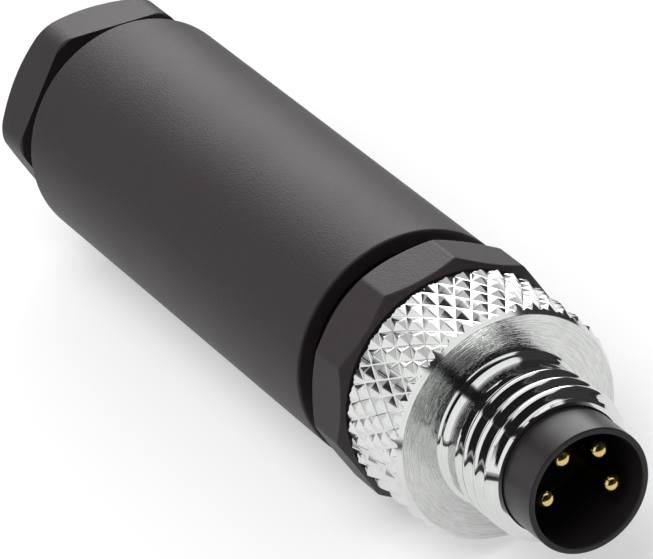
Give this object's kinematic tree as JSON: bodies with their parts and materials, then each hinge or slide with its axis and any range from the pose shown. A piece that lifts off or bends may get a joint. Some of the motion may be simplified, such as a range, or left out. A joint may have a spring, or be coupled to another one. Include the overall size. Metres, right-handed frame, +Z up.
{
  "type": "m8 cable plug connector",
  "caption": "Straight M8 cable plug with a trapezoid of pin contacts in a round shroud, a knurled threaded coupling ring, a long plain sleeve and a hexagonal cable gland nut.",
  "frame": {"origin": "centre of the object's box at the bottom, on the surface that the plug lies on", "axes": "+X along the plug's axis, out of the mating face; +Z up; the plug lies on one flat of its grip body"},
  "size_m": [0.0516, 0.013, 0.0126],
  "materials": {
    "nickel": "bright nickel plate, turned and knurled",
    "black_insert": "moulded satin",
    "black_housing": "fine spark-eroded grain",
    "gold": "bright gold plate",
    "rubber": "matt",
    "dark_insulator": "moulded satin",
    "spring_steel": "satin",
    "cage_plastic": "moulded satin"
  },
  "bodies": {
    "plug_body": {"contact_insert": "black_insert", "contact_1": "gold", "contact_2": "gold", "contact_3": "gold", "contact_4": "gold", "grip_body": "black_housing", "retaining_ring": "spring_steel", "insert_gasket": "rubber", "body_seal": "rubber", "terminal_block": "dark_insulator"},
    "ring": {"coupling_ring": "nickel", "threaded_neck": "nickel"},
    "housing": {"sleeve": "black_housing", "cable_seal": "rubber", "slip_washer": "spring_steel"},
    "cage": {"clamping_cage": "cage_plastic"},
    "nut": {"gland_nut": "black_housing"},
    "screw_1": {"terminal_screw_1": "spring_steel"},
    "screw_2": {"terminal_screw_2": "spring_steel"},
    "screw_3": {"terminal_screw_3": "spring_steel"},
    "screw_4": {"terminal_screw_4": "spring_steel"}
  },
  "joints": [
    {"name": "ring_spin", "type": "hinge", "parent": "plug_body", "child": "ring", "pos_m": [0.0158, 0, 0.00628], "axis": [1, 0, 0], "continuous": true},
    {"name": "sleeve_slide", "type": "slide", "parent": "plug_body", "child": "housing", "axis": [1, 0, 0], "range_m": [-0.0115, 0]},
    {"name": "cage_travel", "type": "slide", "parent": "housing", "child": "cage", "axis": [1, 0, 0], "range_m": [-0.003, 0.0015]},
    {"name": "nut_turn", "type": "hinge", "parent": "cage", "child": "nut", "pos_m": [-0.0232, 0, 0.00628], "axis": [1, 0, 0], "range_deg": [-1080, 540]},
    {"name": "screw_turn_1", "type": "hinge", "parent": "plug_body", "child": "screw_1", "pos_m": [0.001, 0, 0.00628], "axis": [0, -0.2672, 0.9636], "range_deg": [0, 720]},
    {"name": "screw_turn_2", "type": "hinge", "parent": "plug_body", "child": "screw_2", "pos_m": [0.001, 0, 0.00628], "axis": [0, 0.7826, 0.6225], "range_deg": [0, 720]},
    {"name": "screw_turn_3", "type": "hinge", "parent": "plug_body", "child": "screw_3", "pos_m": [0.001, 0, 0.00628], "axis": [0, 0.8526, -0.5225], "range_deg": [0, 720]},
    {"name": "screw_turn_4", "type": "hinge", "parent": "plug_body", "child": "screw_4", "pos_m": [0.001, 0, 0.00628], "axis": [0, -0.9969, 0.0785], "range_deg": [0, 720]}
  ],
  "couplings": [
    {"joint": "nut_turn", "follows": "cage_travel", "rad_per_m": 6283.2}
  ]
}
